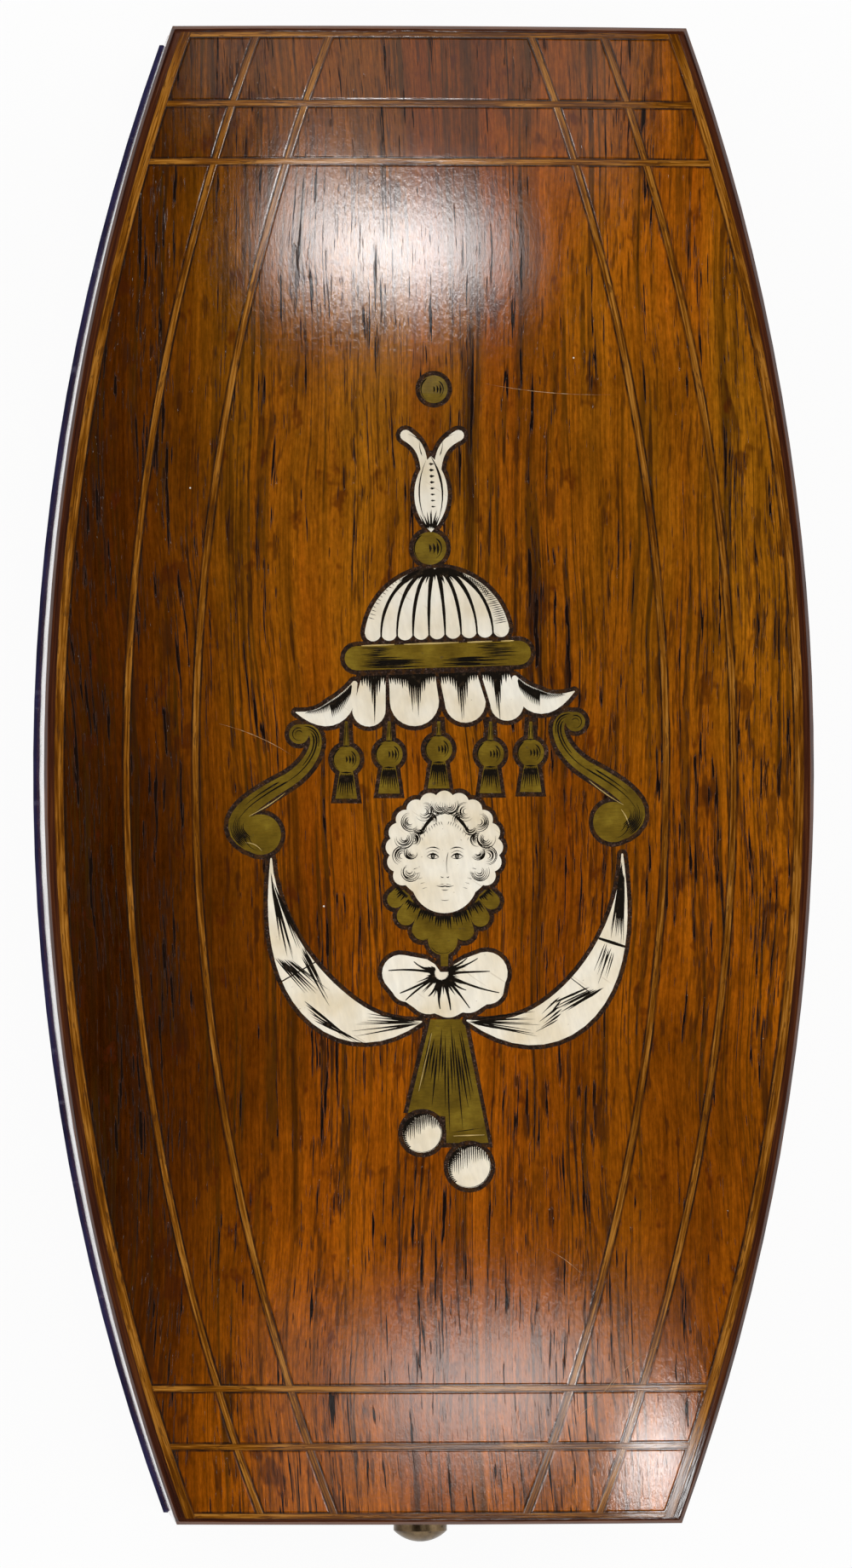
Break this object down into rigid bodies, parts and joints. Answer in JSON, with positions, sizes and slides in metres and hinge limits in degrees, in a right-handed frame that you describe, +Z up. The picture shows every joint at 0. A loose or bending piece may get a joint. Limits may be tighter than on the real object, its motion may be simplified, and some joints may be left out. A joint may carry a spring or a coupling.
{
  "type": "sewing kit",
  "caption": "Barrel-shaped sewing case with a hinged inlaid lid, a push-button catch and a fitted tray holding scissors, thimble, needle case, stiletto and bodkin.",
  "frame": {"origin": "on the underside, at the middle of the case's length and width", "axes": "+Z up, +Y towards the hinge end, +X to the right when the button end is nearest"},
  "size_m": [0.0676, 0.1326, 0.0295],
  "materials": {
    "rosewood": "french polished",
    "dark_rosewood": "french polished",
    "carcass_wood": "plain",
    "boxwood": "polished",
    "bone": "polished, engraved",
    "brass": "aged, engraved",
    "bronze": "dark patina",
    "steel": "polished",
    "mastic": "rough, dull",
    "velvet": "cut pile",
    "silk": "satin",
    "lining_paper": "matt"
  },
  "bodies": {
    "base": {"base_floor": "carcass_wood", "base_side_left": "carcass_wood", "base_side_right": "carcass_wood", "base_end_front": "carcass_wood", "base_end_back": "carcass_wood", "base_veneer_left": "rosewood", "base_veneer_right": "rosewood", "base_veneer_front": "rosewood", "base_veneer_back": "rosewood", "underside_paper": "lining_paper", "fitted_tray": "velvet", "button_bush": "bronze", "lock_plate": "brass", "lock_spring": "steel", "base_screws": "brass", "hinge_leaf_base": "brass", "hinge_pin": "steel", "thimble": "brass", "needle_case_body": "bone", "needles": "steel", "stiletto_handle": "bone", "stiletto_point": "steel", "bodkin": "steel"},
    "lid": {"lid_board": "carcass_wood", "lid_side_left": "carcass_wood", "lid_side_right": "carcass_wood", "lid_end_front": "carcass_wood", "lid_end_back": "carcass_wood", "lid_veneer_left": "rosewood", "lid_veneer_right": "rosewood", "lid_veneer_front": "rosewood", "lid_veneer_back": "rosewood", "top_veneer": "rosewood", "top_banding": "dark_rosewood", "border_strings": "boxwood", "stave_strings": "boxwood", "hoop_strings": "boxwood", "mastic_fill": "mastic", "ivory_bud": "bone", "ivory_canopy": "bone", "ivory_valance": "bone", "ivory_mask": "bone", "ivory_shell": "bone", "ivory_crescents": "bone", "ivory_pearls": "bone", "brass_bar": "brass", "brass_tassels": "brass", "brass_scrolls": "brass", "brass_ruff": "brass", "brass_pendant": "brass", "hinge_leaf_lid": "brass", "lid_screws": "brass", "lock_hook": "brass", "lid_pad": "silk"},
    "button": {"push_button": "bronze"},
    "needle_case_cap": {"needle_case_cap": "bone"},
    "scissors_left": {"scissors_left": "steel", "scissors_screw": "brass"},
    "scissors_right": {"scissors_right": "steel"}
  },
  "joints": [
    {"name": "lid_hinge", "type": "hinge", "parent": "base", "child": "lid", "pos_m": [0, 0.0637, 0.017], "axis": [-1, 0, 0], "range_deg": [0, 95]},
    {"name": "button_press", "type": "slide", "parent": "base", "child": "button", "axis": [0, 1, 0], "range_m": [0, 0.0008], "stiffness_N_per_m": 400, "springref_m": -0.0005, "deforming": ["lock_spring"]},
    {"name": "needle_case_cap_pull", "type": "slide", "parent": "base", "child": "needle_case_cap", "axis": [0, 1, 0], "range_m": [0, 0.0065]},
    {"name": "scissors_left_turn", "type": "hinge", "parent": "base", "child": "scissors_left", "pos_m": [0, -0.01035, 0.0125], "axis": [0, 0, -1], "range_deg": [0, 4]},
    {"name": "scissors_right_turn", "type": "hinge", "parent": "base", "child": "scissors_right", "pos_m": [0, -0.01035, 0.0125], "axis": [0, 0, 1], "range_deg": [0, 4]}
  ],
  "couplings": [
    {"joint": "scissors_right_turn", "follows": "scissors_left_turn", "ratio": 1}
  ]
}
